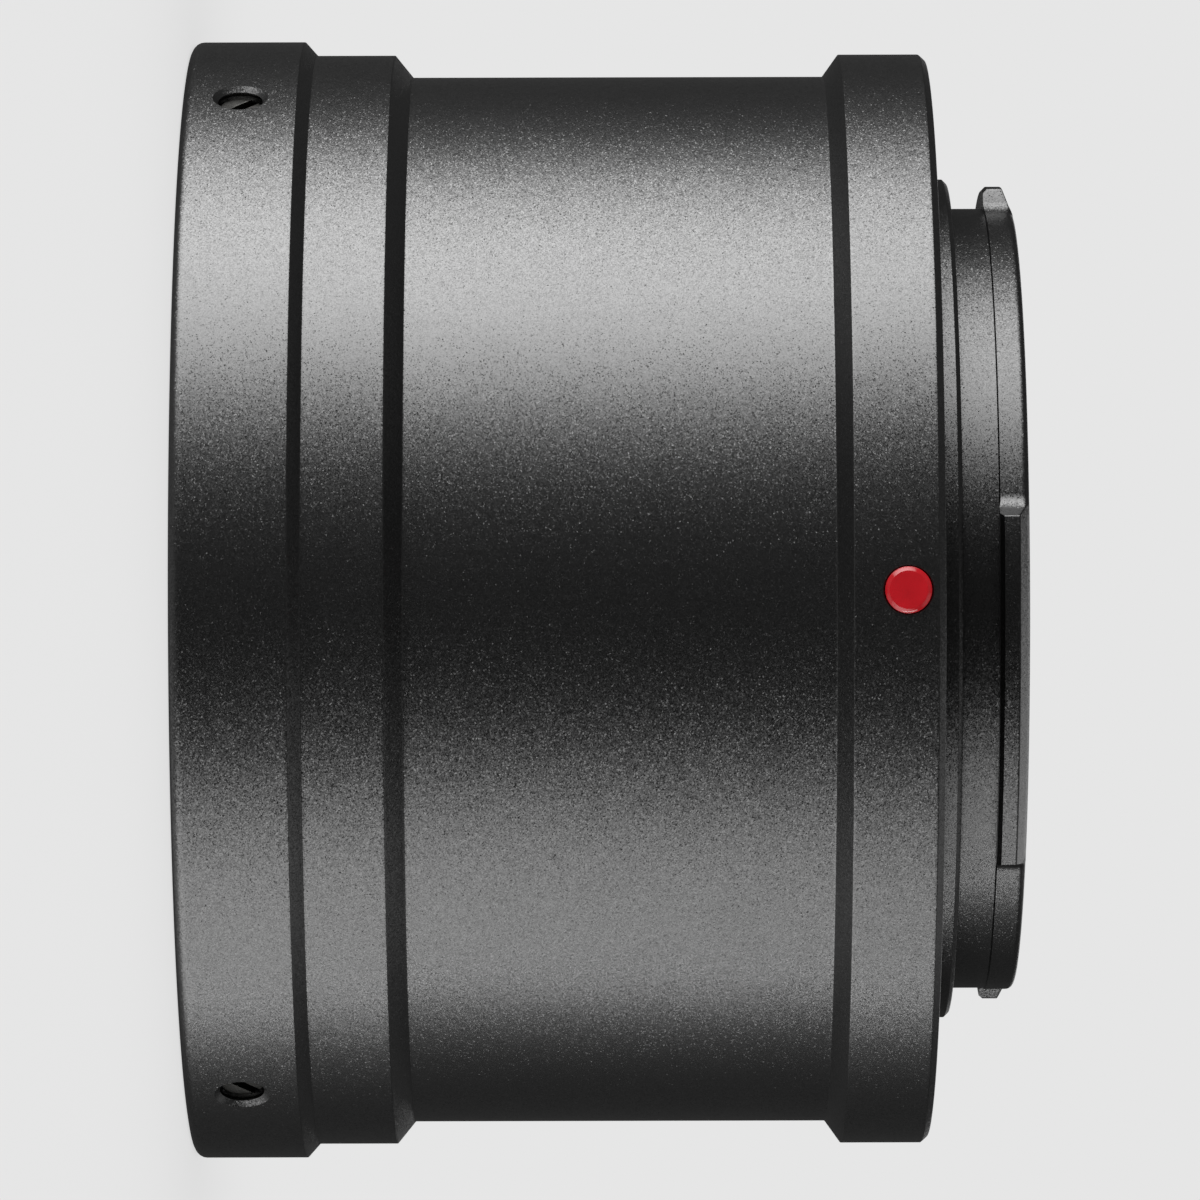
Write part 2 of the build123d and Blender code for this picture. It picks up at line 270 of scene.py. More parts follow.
# Camera: level with the middle of the part and rolled a quarter turn, so that the optical axis lies across the picture.
cameraSetup = {"distance": 383.8 * mm, "height": 19.6 * mm, "aim": 19.24 * mm, "drop": 0.04 * mm,
               "turn": 0.85, "fieldOfView": 8.55, "roll": 0.135}
camera = bpy.data.objects.new("camera", bpy.data.cameras.new("camera"))
bpy.context.scene.collection.objects.link(camera)
camera.data.lens = camera.data.sensor_width / 2 / tan(radians(cameraSetup["fieldOfView"] / 2))
camera.data.clip_start = 0.01
camera.location = direction(cameraSetup["turn"]) * cameraSetup["distance"] + Vector((0, 0, cameraSetup["height"]))
target = Vector((cameraSetup["drop"], 0, cameraSetup["aim"]))
lookBack = (camera.location - target).normalized()
pictureRight = Matrix.Rotation(radians(cameraSetup["roll"]), 3, -lookBack) @ Vector((0, 0, 1))
pictureUp = lookBack.cross(pictureRight).normalized()
pictureRight = pictureUp.cross(lookBack)
camera.rotation_euler = Matrix((pictureRight, pictureUp, lookBack)).transposed().to_euler()
bpy.context.scene.camera = camera
bpy.context.scene.view_settings.view_transform = "Standard"
print("camera placed")


# Materials. Patterns read Object coordinates, which are metres, so a pattern's scale is one over its size.
def newMaterial(name):
    material = bpy.data.materials.new(name)
    material.use_nodes = True
    tree = material.node_tree
    return material, tree, tree.nodes["Principled BSDF"]


# A ramp between two hex colours. Its ends can be moved in.
def colourRamp(tree, factor, low, high, ends=(0.0, 1.0)):
    ramp = addNode(tree, "ShaderNodeValToRGB", None, {"Fac": factor})
    first, last = ramp.color_ramp.elements
    first.position, last.position = ends
    first.color, last.color = linearColour(low), linearColour(high)
    return ramp


# Black anodised aluminium, bead-blasted first: a dark satin whose tiny facets each catch the light a little
# differently, so it looks even in the highlights and sparkles where the light falls off. Most facets lean a
# little and a few lean a lot. The real dimples are about 0.03 mm across, and are drawn at 0.05 mm so that they show.
anodiseLook = {"dark": "#4D4D4D", "light": "#5F5F5F", "dimple": 0.05 * mm, "tilt": 0.65, "mottle": 2.4 * mm,
               "mottleShare": 0.2, "rampEnds": (0.1, 1.0), "roughness": 0.33, "roughnessSpread": 0.05}
# The bayonet ring is turned and anodised apart from the barrel. Its colour is a little darker all over, which is
# painted shade standing in for the flange's shadow on its core.
ringPaintedShadeLook = {**anodiseLook, "dark": "#474747", "light": "#585858"}


def anodisedAluminium(name, look):
    material, tree, shader = newMaterial(name)
    place = addNode(tree, "ShaderNodeTexCoord").outputs["Object"]
    dimples = addNode(tree, "ShaderNodeTexVoronoi", {"feature": "F1"}, {"Vector": place, "Scale": 1 / look["dimple"]})
    mottle = addNode(tree, "ShaderNodeTexNoise", None, {"Vector": place, "Scale": 1 / look["mottle"], "Detail": 3.0})
    chance = addNode(tree, "ShaderNodeSeparateXYZ", None, {0: dimples.outputs["Color"]})
    shade = addNode(tree, "ShaderNodeMath", {"operation": "MULTIPLY_ADD"}, {
        0: mottle, 1: look["mottleShare"], 2: chance})
    colour = colourRamp(tree, shade, look["dark"], look["light"], look["rampEnds"])
    rough = addNode(tree, "ShaderNodeMapRange", None, {
        "Value": chance.outputs["Y"], "To Min": look["roughness"] - look["roughnessSpread"],
        "To Max": look["roughness"] + look["roughnessSpread"]})
    centred = addNode(tree, "ShaderNodeVectorMath", {"operation": "SUBTRACT"}, {
        0: dimples.outputs["Color"], 1: (0.5, 0.5, 0.5)})
    lean = addNode(tree, "ShaderNodeVectorMath", {"operation": "DOT_PRODUCT"}, {0: centred, 1: centred})
    most = addNode(tree, "ShaderNodeMath", {"operation": "MULTIPLY"}, {0: lean.outputs["Value"], 1: look["tilt"]})
    tilt = addNode(tree, "ShaderNodeVectorMath", {"operation": "SCALE"}, {0: centred, "Scale": most})
    surface = addNode(tree, "ShaderNodeNewGeometry")
    tilted = addNode(tree, "ShaderNodeVectorMath", {"operation": "ADD"}, {0: surface.outputs["Normal"], 1: tilt})
    facet = addNode(tree, "ShaderNodeVectorMath", {"operation": "NORMALIZE"}, {0: tilted})
    shader.inputs["Metallic"].default_value = 1.0
    tree.links.new(colour.outputs["Color"], shader.inputs["Base Color"])
    tree.links.new(rough.outputs["Result"], shader.inputs["Roughness"])
    tree.links.new(facet.outputs["Vector"], shader.inputs["Normal"])
    return material


# Black oxide on steel: thin and slightly brown, with a soft grain where the anodise has facets. The real grain is
# about 0.02 mm, and is drawn at 0.06 mm so that it shows.
oxideLook = {"dark": "#434342", "light": "#63625F", "grain": 0.06 * mm, "roughness": 0.34, "roughnessSpread": 0.08,
             "bumpHeight": 0.003 * mm}


def blackenedSteel(name, look):
    material, tree, shader = newMaterial(name)
    place = addNode(tree, "ShaderNodeTexCoord").outputs["Object"]
    grain = addNode(tree, "ShaderNodeTexNoise", None, {"Vector": place, "Scale": 1 / look["grain"], "Detail": 3.0})
    colour = colourRamp(tree, grain, look["dark"], look["light"])
    rough = addNode(tree, "ShaderNodeMapRange", None, {
        "Value": grain, "To Min": look["roughness"] - look["roughnessSpread"],
        "To Max": look["roughness"] + look["roughnessSpread"]})
    bump = addNode(tree, "ShaderNodeBump", None, {"Strength": 1.0, "Distance": look["bumpHeight"], "Height": grain})
    shader.inputs["Metallic"].default_value = 1.0
    tree.links.new(colour.outputs["Color"], shader.inputs["Base Color"])
    tree.links.new(rough.outputs["Result"], shader.inputs["Roughness"])
    tree.links.new(bump.outputs["Normal"], shader.inputs["Normal"])
    return material


# Bright turned steel. The lathe leaves marks about 0.05 mm apart, and on a pin of 1 mm a fine grain stands for them.
brightLook = {"dark": "#A9A9AB", "light": "#D2D2D4", "mark": 0.05 * mm, "roughness": 0.24, "bumpHeight": 0.002 * mm}


def turnedSteel(name, look):
    material, tree, shader = newMaterial(name)
    place = addNode(tree, "ShaderNodeTexCoord").outputs["Object"]
    marks = addNode(tree, "ShaderNodeTexNoise", None, {"Vector": place, "Scale": 1 / look["mark"], "Detail": 2.0})
    colour = colourRamp(tree, marks, look["dark"], look["light"])
    bump = addNode(tree, "ShaderNodeBump", None, {"Strength": 1.0, "Distance": look["bumpHeight"], "Height": marks})
    shader.inputs["Metallic"].default_value = 1.0
    shader.inputs["Roughness"].default_value = look["roughness"]
    tree.links.new(colour.outputs["Color"], shader.inputs["Base Color"])
    tree.links.new(bump.outputs["Normal"], shader.inputs["Normal"])
    return material


# Red enamel under a clear coat: glossy, with colour that is faintly cloudy over about 0.9 mm.
enamelLook = {"deep": "#820F15", "bright": "#8F1118", "cloud": 0.9 * mm, "rampEnds": (0.3, 0.7), "roughness": 0.35,
              "coat": 0.9, "coatRoughness": 0.09, "bumpStrength": 0.3, "bumpHeight": 0.004 * mm}


def redEnamel(name, look):
    material, tree, shader = newMaterial(name)
    place = addNode(tree, "ShaderNodeTexCoord").outputs["Object"]
    cloud = addNode(tree, "ShaderNodeTexNoise", None, {"Vector": place, "Scale": 1 / look["cloud"], "Detail": 2.0})
    colour = colourRamp(tree, cloud, look["deep"], look["bright"], look["rampEnds"])
    bump = addNode(tree, "ShaderNodeBump", None, {
        "Strength": look["bumpStrength"], "Distance": look["bumpHeight"], "Height": cloud})
    shader.inputs["Roughness"].default_value = look["roughness"]
    shader.inputs["Specular IOR Level"].default_value = 0.0
    shader.inputs["Coat Weight"].default_value = look["coat"]
    shader.inputs["Coat Roughness"].default_value = look["coatRoughness"]
    tree.links.new(colour.outputs["Color"], shader.inputs["Base Color"])
    tree.links.new(bump.outputs["Normal"], shader.inputs["Normal"])
    return material


anodise = anodisedAluminium("blackAnodisedAluminium", anodiseLook)
# The ring's anodise is darker by painted shade for the flange's shadow.
ringPaintedShadeAnodise = anodisedAluminium("blackAnodisedRingPaintedShade", ringPaintedShadeLook)
blackSteel = blackenedSteel("blackOxideSteel", oxideLook)
brightSteel = turnedSteel("turnedSteel", brightLook)
enamel = redEnamel("redEnamel", enamelLook)
print("materials mixed")


# Barrel, all in mm. Heights run from the telescope's end to the camera's end.
barrelShape = {
    "collarRadius": 26.6, "collarLength": 5.29, "collarRound": 0.5, "collarSlope": 0.58,
    "bandRadius": 25.95, "bandLength": 3.7, "bandSlope": 0.85, "tubeRadius": 24.9,
    "flangeRadius": 25.95, "flangeLength": 4.1, "flangeSlope": 0.75, "flangeChamfer": 0.31,
    "flangeBreak": 0.28, "flangeEdge": 0.1,
    "faceHeight": 34.72, "discRadius": 23.54, "discDepth": 1.62, "webRadius": 18.5, "webLip": 1.4, "webEdge": 0.1,
    "boreRadius": 22.2, "ringRadius": 23.53, "ringDepth": 6.1, "mouthChamfer": 0.3, "mouthEdge": 0.03,
    "edge": 0.06, "innerEdge": 0.05, "ridgePitch": 0.8, "ridgeDepth": 0.3, "ridgeMargin": 0.9, "segments": 288,
}
# Set screws and bead, which the barrel's holes follow.
setScrewShape = {"angles": {1: 60.0, 2: 180.0, 3: 300.0}, "height": 2.69, "radius": 1.0, "clearance": 0.03,
                 "holeDepth": 3.4, "mouthChamfer": 0.25, "pitch": 0.4, "threadDepth": 0.1, "length": 3.0,
                 "pointRadius": 0.2, "pointAt": 23.07, "slotWidth": 0.5, "slotDepth": 0.8,
                 "slotTurns": {1: -45.0, 2: 12.0, 3: 45.0}, "edge": 0.08, "pointEdge": 0.04, "coneEdge": 0.05,
                 "endEdge": 0.03, "slotEdge": 0.02}
beadShape = {"radius": 1.05, "fromFace": 1.69, "depth": 1.0, "rise": 0.2, "bevel": 0.19, "clearance": 0.05,
             "mouthChamfer": 0.04, "edge": 0.05, "bevelEdge": 0.03}


# The saw-tooth baffle ridges as outline corners, from the camera's side down to the telescope's side.
def baffleCorners(shape, low, high):
    count = int((high - shape["ridgeMargin"] - low - shape["ridgeMargin"]) / shape["ridgePitch"])
    bore, depth, pitch = shape["boreRadius"], shape["ridgeDepth"], shape["ridgePitch"]
    corners = []
    for i in reversed(range(count)):
        start = low + shape["ridgeMargin"] + pitch * i
        corners += [(bore, start + pitch / 2, 0.0), (bore + depth, start, 0.0), (bore, start, 0.0)]
    return corners


def buildBarrel():
    s = barrelShape
    e = s["edge"]
    face = s["faceHeight"]
    bandStart = s["collarLength"] + s["collarSlope"]
    bandEnd = bandStart + s["bandLength"]
    flangeStart = face - s["flangeLength"]
    discBack = face - s["discDepth"]
    webLipEnd = discBack - s["webLip"]
    webStart = webLipEnd - (s["boreRadius"] - s["webRadius"])
    corners = [
        (s["ringRadius"] + s["mouthChamfer"], 0, s["innerEdge"]),
        (s["collarRadius"], 0, s["collarRound"]),
        (s["collarRadius"], s["collarLength"], e),
        (s["bandRadius"], bandStart, e),
        (s["bandRadius"], bandEnd, e),
        (s["tubeRadius"], bandEnd + s["bandSlope"], e),
        (s["tubeRadius"], flangeStart - s["flangeSlope"], e),
        (s["flangeRadius"], flangeStart, e),
        (s["flangeRadius"], face - s["flangeChamfer"], s["flangeEdge"]),
        (s["flangeRadius"] - s["flangeBreak"], face, s["flangeEdge"]),
        (s["discRadius"], face, s["innerEdge"]),
        (s["discRadius"], discBack, 0),
        (s["webRadius"], discBack, s["webEdge"]),
        (s["webRadius"], webLipEnd, s["innerEdge"]),
        (s["boreRadius"], webStart, 0),
        *baffleCorners(s, s["ringDepth"], webStart),
        (s["boreRadius"], s["ringDepth"], s["innerEdge"]),
        (s["ringRadius"], s["ringDepth"], 0),
        (s["ringRadius"], s["mouthChamfer"], s["mouthEdge"]),
    ]
    outline = outlineMesh("barrelOutline", turnedOutline(corners))
    return bakeTree("barrelShell", outline, turnedTree, {"Segments": s["segments"], "Finish": anodise})


# A piece from an open outline, whose two ends lie on the axis or where another surface meets them.
def turnedPiece(name, corners, material, segments=64, gap=1.6):
    outline = outlineMesh(name + "Outline", turnedOutline(corners, closed=False, gap=gap))
    return bakeTree(name, outline, turnedTree, {"Segments": segments, "Finish": material})


cutterOver = 0.3  # mm that a cutter stands out of the face that it cuts
# The thread of a tapped hole, drawn as rings: the plain length at each end, and the heights of a ring's corners as
# shares of the pitch.
tapRings = {"plainFoot": 0.05, "plainMouth": 0.02, "rootFrom": 0.45, "rootTo": 0.55, "crestFrom": 0.96}


# A cutter for a hole along +Z whose mouth is at Z = 0, with a 45 degree mouth or countersink and tapped rings.
def holeCutter(name, radius, depth, mouthRadius, pitch=0.0, threadDepth=0.0):
    t = tapRings
    mouth = mouthRadius - radius
    rings = int((depth - mouth - t["plainFoot"]) / pitch) if pitch else 0
    corners = [(0, -depth, 0), (radius, -depth, 0)]
    for i in reversed(range(rings)):
        low = -mouth - t["plainMouth"] - pitch * (i + 1)
        corners += [(radius, low, 0), (radius + threadDepth, low + pitch * t["rootFrom"], 0),
                    (radius + threadDepth, low + pitch * t["rootTo"], 0), (radius, low + pitch * t["crestFrom"], 0)]
    corners += [(radius, -max(mouth, 0), 0)]
    corners += [(mouthRadius + cutterOver if mouth > 0 else radius, cutterOver, 0), (0, cutterOver, 0)]
    return finishMesh(turnedPiece(name, corners, anodise), sharpAngle=25)


barrelShell = buildBarrel()
finishMesh(barrelShell)
for number, angle in setScrewShape["angles"].items():
    holeRadius = setScrewShape["radius"] + setScrewShape["clearance"]
    cutter = holeCutter("setScrewHole", holeRadius, setScrewShape["holeDepth"],
                        holeRadius + setScrewShape["mouthChamfer"],
                        pitch=setScrewShape["pitch"], threadDepth=setScrewShape["threadDepth"])
    faceOutwards(cutter, angle, barrelShape["collarRadius"] * mm, setScrewShape["height"] * mm)
    cutAway(barrelShell, cutter)
seatRadius = beadShape["radius"] + beadShape["clearance"]
cutter = holeCutter("beadSeat", seatRadius, beadShape["depth"], seatRadius + beadShape["mouthChamfer"])
faceOutwards(cutter, 0, barrelShape["flangeRadius"] * mm, (barrelShape["faceHeight"] - beadShape["fromFace"]) * mm)
cutAway(barrelShell, cutter)
paint(finishMesh(barrelShell, weld=cutWeldDistance), anodise)
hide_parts("barrel")
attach(barrelShell, "barrel")
print("barrel turned and drilled:", len(barrelShell.data.polygons), "faces")


# Thread ring. A female metric thread is flat over a quarter of its pitch at the crest and over an eighth at the root.
threadRingShape = {"crestRadius": 20.594, "threadDepth": 0.406, "pitch": 0.75, "crestShare": 0.25,
                   "rootShare": 0.125, "leadIn": 0.55, "rowsPerPitch": 16, "length": 6.0, "radius": 23.5,
                   "chamfer": 0.2, "grooveDepth": 0.7, "grooveHeight": 2.69, "edge": 0.04, "grooveEdge": 0.05,
                   "segments": 256}


# Threaded ring: a right-handed metric thread is wrapped inside the turned outline, whose ends it meets.
def buildThreadTree():
    tree = newTree("threadedRing", {
        "Geometry": "NodeSocketGeometry", "Crest Radius": "NodeSocketFloat", "Thread Depth": "NodeSocketFloat",
        "Pitch": "NodeSocketFloat", "Crest Share": "NodeSocketFloat", "Root Share": "NodeSocketFloat",
        "Length": "NodeSocketFloat", "Lead In": "NodeSocketFloat", "Rows Per Pitch": "NodeSocketInt",
        "Segments": "NodeSocketInt", "Finish": "NodeSocketMaterial"})
    given = addNode(tree, "NodeGroupInput")
    crest, depth, pitch = [given.outputs[label] for label in ("Crest Radius", "Thread Depth", "Pitch")]
    length, perPitch, segments = [given.outputs[label] for label in ("Length", "Rows Per Pitch", "Segments")]
    pitches = addNode(tree, "ShaderNodeMath", {"operation": "DIVIDE"}, {0: length, 1: pitch})
    spare = addNode(tree, "ShaderNodeMath", {"operation": "ADD"}, {0: pitches, 1: 1.0})
    last = addNode(tree, "ShaderNodeMath", {"operation": "MULTIPLY"}, {0: spare, 1: perPitch})
    rows = addNode(tree, "ShaderNodeMath", {"operation": "ADD"}, {0: last, 1: 1.0})
    columns = addNode(tree, "ShaderNodeMath", {"operation": "ADD"}, {0: segments, 1: 1.0})
    grid = addNode(tree, "GeometryNodeMeshGrid", None, {
        "Size X": last, "Size Y": 1.0, "Vertices X": rows, "Vertices Y": columns})
    split = addNode(tree, "ShaderNodeSeparateXYZ", None, {0: addNode(tree, "GeometryNodeInputPosition")})
    share = addNode(tree, "ShaderNodeMath", {"operation": "ADD"}, {0: split.outputs["Y"], 1: 0.5})
    row = addNode(tree, "ShaderNodeMath", {"operation": "MULTIPLY_ADD"}, {0: last, 1: 0.5, 2: split.outputs["X"]})
    climbed = addNode(tree, "ShaderNodeMath", {"operation": "DIVIDE"}, {0: row, 1: perPitch})
    started = addNode(tree, "ShaderNodeMath", {"operation": "SUBTRACT"}, {0: climbed, 1: 1.0})
    turns = addNode(tree, "ShaderNodeMath", {"operation": "ADD"}, {0: started, 1: share})
    rise = addNode(tree, "ShaderNodeMath", {"operation": "MULTIPLY"}, {0: turns, 1: pitch})
    height = addNode(tree, "ShaderNodeClamp", None, {"Value": rise, "Min": 0.0, "Max": length})
    level = addNode(tree, "ShaderNodeMath", {"operation": "DIVIDE"}, {0: height, 1: pitch})
    along = addNode(tree, "ShaderNodeMath", {"operation": "SUBTRACT"}, {0: level, 1: share})
    phase = addNode(tree, "ShaderNodeMath", {"operation": "FRACT"}, {0: along})
    swing = addNode(tree, "ShaderNodeMath", {"operation": "MULTIPLY_ADD"}, {0: phase, 1: 2.0, 2: -1.0})
    wave = addNode(tree, "ShaderNodeMath", {"operation": "ABSOLUTE"}, {0: swing})
    flankEnd = addNode(tree, "ShaderNodeMath", {"operation": "SUBTRACT"}, {0: 1.0, 1: given.outputs["Root Share"]})
    tooth = addNode(tree, "ShaderNodeMapRange", None, {
        "Value": wave, "From Min": given.outputs["Crest Share"], "From Max": flankEnd, "To Min": 0.0, "To Max": depth})
    wall = addNode(tree, "ShaderNodeMath", {"operation": "ADD"}, {0: crest, 1: tooth})
    above = addNode(tree, "ShaderNodeMath", {"operation": "SUBTRACT"}, {0: length, 1: height})
    nearest = addNode(tree, "ShaderNodeMath", {"operation": "MINIMUM"}, {0: height, 1: above})
    mouth = addNode(tree, "ShaderNodeMath", {"operation": "ADD"}, {0: crest, 1: given.outputs["Lead In"]})
    cone = addNode(tree, "ShaderNodeMath", {"operation": "SUBTRACT"}, {0: mouth, 1: nearest})
    radius = addNode(tree, "ShaderNodeMath", {"operation": "MAXIMUM"}, {0: wall, 1: cone})
    wrapped = wrapRound(tree, share, radius, height)
    thread = addNode(tree, "GeometryNodeSetPosition", None, {"Geometry": grid.outputs["Mesh"], "Position": wrapped})
    joined = addNode(tree, "GeometryNodeJoinGeometry")
    tree.links.new(given.outputs["Geometry"], joined.inputs["Geometry"])
    tree.links.new(thread.outputs["Geometry"], joined.inputs["Geometry"])
    return endTree(tree, given, joined)


def buildThreadRing():
    s = threadRingShape
    mouth = s["crestRadius"] + s["leadIn"]
    groove = s["radius"] - s["grooveDepth"]
    corners = [
        (mouth, s["length"], 0),
        (s["radius"] - s["chamfer"], s["length"], s["edge"]),
        (s["radius"], s["length"] - s["chamfer"], s["edge"]),
        (s["radius"], s["grooveHeight"] + s["grooveDepth"], s["grooveEdge"]),
        (groove, s["grooveHeight"], s["grooveEdge"]),
        (s["radius"], s["grooveHeight"] - s["grooveDepth"], s["grooveEdge"]),
        (s["radius"], s["chamfer"], s["edge"]),
        (s["radius"] - s["chamfer"], 0, s["edge"]),
        (mouth, 0, 0),
    ]
    outside = turnedPiece("threadRingOutside", corners, anodise, segments=s["segments"])
    made = bakeTree("threadRing", outside.data, buildThreadTree(), {
        "Crest Radius": s["crestRadius"] * mm, "Thread Depth": s["threadDepth"] * mm, "Pitch": s["pitch"] * mm,
        "Crest Share": s["crestShare"], "Root Share": s["rootShare"], "Length": s["length"] * mm,
        "Lead In": s["leadIn"] * mm, "Rows Per Pitch": s["rowsPerPitch"], "Segments": s["segments"],
        "Finish": anodise})
    bpy.data.objects.remove(outside)
    return finishMesh(made)


threadRing = buildThreadRing()
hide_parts("t_thread_ring")
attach(threadRing, "t_ring")
print("thread cut:", len(threadRing.data.polygons), "faces")


# Bayonet ring, and the pin and screws that its holes follow. A lug is given by the directions of its two ends.
bayonetShape = {
    "boreRadius": 17.2, "discRadius": 23.5, "discBack": 33.1, "face": 34.72, "seatRadius": 20.0, "seatHeight": 35.75,
    "seatChamfer": 0.2, "grooveRadius": 18.6, "lugBack": 37.45, "front": 38.84, "frontRim": 0.2,
    "coreRadius": 18.66, "coreRound": 0.32, "coreStep": 0.07,
    "lugs": [(-10.15, 39.45), (101.35, 159.45), (229.85, 279.45)], "lugRadius": 19.65, "lugBlend": 0.3,
    "lugBackCut": 0.2, "lugFrontLength": 0.49, "lugFrontDrop": 1.24, "lugEdge": 0.06,
    "rampSlope": 53.0, "cutterRadius": 1.1, "topBlend": 0.02, "rampInside": 2.0, "rampOutside": 5.0, "rampStep": 0.1,
    "edge": 0.05, "boreEdge": 0.12, "discEdge": 0.08,
    "lockPocketAngle": 90.0, "lockPocketRadius": 1.3, "lockPocketDepth": 1.2,
}
# Rows of the ring's outside, as shares of each run: those beside a corner keep the walls flat.
rowShares = {"floor": (0, 1 / 3, 2 / 3), "backCut": (0, 0.08, 0.36, 0.64, 0.92, 1), "wall": (0.06, 0.94),
             "edge": (0, 1 / 3, 2 / 3, 1), "front": (0.04, 0.36, 0.68, 1)}
stopPinShape = {"angle": -141.0, "height": 36.6, "radius": 0.5, "inner": 17.6, "outer": 19.45, "chamfer": 0.12,
                "edge": 0.03, "footEdge": 0.05}
bayonetScrewShape = {"count": 4, "firstAngle": 45.0, "circle": 21.75, "radius": 0.85, "headRadius": 1.5, "sink": 0.05,
                     "length": 4.0, "tipChamfer": 0.15, "shankClearance": 0.08, "headClearance": 0.02,
                     "holeSpare": 0.5, "recessSpan": 1.7, "recessWidth": 0.34, "recessDepth": 0.6,
                     "recessTaper": 12.0, "recessEdge": 0.015, "edge": 0.04, "neckEdge": 0.05, "seed": 4}


def softMax(a, b, size):
    return (a + b + ((a - b) ** 2 + size ** 2) ** 0.5) / 2


# How far out the plan reaches at an angle: the full lug, its end, or the core between the lugs. A lug's end leaves
# the core in the hollow of the milling cutter and then runs straight up to a crisp edge.
def lugReach(angle):
    s = bayonetShape
    slope = radians(s["rampSlope"])
    hollow = s["cutterRadius"] * sin(slope)
    rise = s["cutterRadius"] * (1 - cos(slope))
    run = hollow + (s["lugRadius"] - s["coreRadius"] - rise) / tan(slope)
    for start, end in s["lugs"]:
        beyond = max((start - angle + 180) % 360 - 180, (angle - end + 180) % 360 - 180)
        if beyond <= -s["rampInside"]:
            return s["lugRadius"]
        if beyond < s["rampOutside"]:
            along = max(0.0, run - s["lugRadius"] * sin(radians(beyond)))
            if along < hollow:
                up = s["cutterRadius"] - (s["cutterRadius"] ** 2 - along ** 2) ** 0.5
            else:
                up = rise + (along - hollow) * tan(slope)
            return -softMax(-s["lugRadius"], -(s["coreRadius"] + up), s["topBlend"])
    return s["coreRadius"]


# One column of the ring's outside above the groove, as (radius, height) from the groove's floor to the front.
def coreColumn(core):
    s = bayonetShape
    back, front, groove, size = s["lugBack"], s["front"], s["grooveRadius"], s["coreRound"]
    rows = [(groove + (core - groove) * k, back + s["coreStep"] * k) for k in rowShares["floor"]]
    back += s["coreStep"]
    rows += [(core, back)] * len(rowShares["backCut"])
    rows += [(core, back + (front - size - back) * k) for k in rowShares["wall"]]
    last = len(rowShares["edge"]) + len(rowShares["front"]) - 1
    turns = [k / last * pi / 2 for k in range(last + 1)]
    return rows + [(core - size + size * cos(turn), front - size + size * sin(turn)) for turn in turns]


# The same for a lug, with as many rows: its back with the cut corner, its wall, and its front that slopes to the tip.
def lugColumn(reach):
    s = bayonetShape
    back, front, groove = s["lugBack"], s["front"], s["grooveRadius"]
    straight = min(reach, s["lugRadius"] - s["lugBackCut"])
    rows = [(groove + (straight - groove) * k, back) for k in rowShares["floor"]]
    cut = reach - straight
    rows += [(straight + cut * k, back + cut * k) for k in rowShares["backCut"]]
    tip = Vector((s["lugRadius"] - s["lugFrontDrop"], front))
    corner = Vector((reach, front - s["lugFrontLength"] * (reach - tip.x) / s["lugFrontDrop"]))
    slope = (tip - corner).normalized()
    wallFoot = rows[-1][1]
    edge = min(s["lugEdge"], (corner.y - wallFoot) / 3, (tip - corner).length / 2)
    start, end = corner - Vector((0, edge)), corner + slope * edge
    rows += [(reach, wallFoot + (start.y - wallFoot) * k) for k in rowShares["wall"]]
    rows += [tuple(start * (1 - k) ** 2 + corner * 2 * k * (1 - k) + end * k ** 2) for k in rowShares["edge"]]
    return rows + [tuple(end.lerp(tip, k)) for k in rowShares["front"]]


# The core's column turns into the lug's over the first part of the rise.
def bayonetColumn(reach):
    rise = reach - bayonetShape["coreRadius"]
    share = max(0.0, min(1.0, rise / bayonetShape["lugBlend"]))
    share = share * share * (3 - 2 * share)
    pairs = zip(coreColumn(reach), lugColumn(reach))
    return [(a[0] + (b[0] - a[0]) * share, a[1] + (b[1] - a[1]) * share) for a, b in pairs]


# Copies a part round the bayonet screws' circle, with its own Z = 0 on the bayonet ring's face.
def ringOfParts(name, part, material, spread):
    screw = bayonetScrewShape
    made = bakeTree(name, part.data, ringTree, {
        "Count": screw["count"], "Radius": screw["circle"] * mm, "Height": bayonetShape["face"] * mm,
        "First Angle": radians(screw["firstAngle"] - 90), "Spread Of Turns": spread, "Seed": screw["seed"],
        "Finish": material})
    bpy.data.objects.remove(part)
    return made


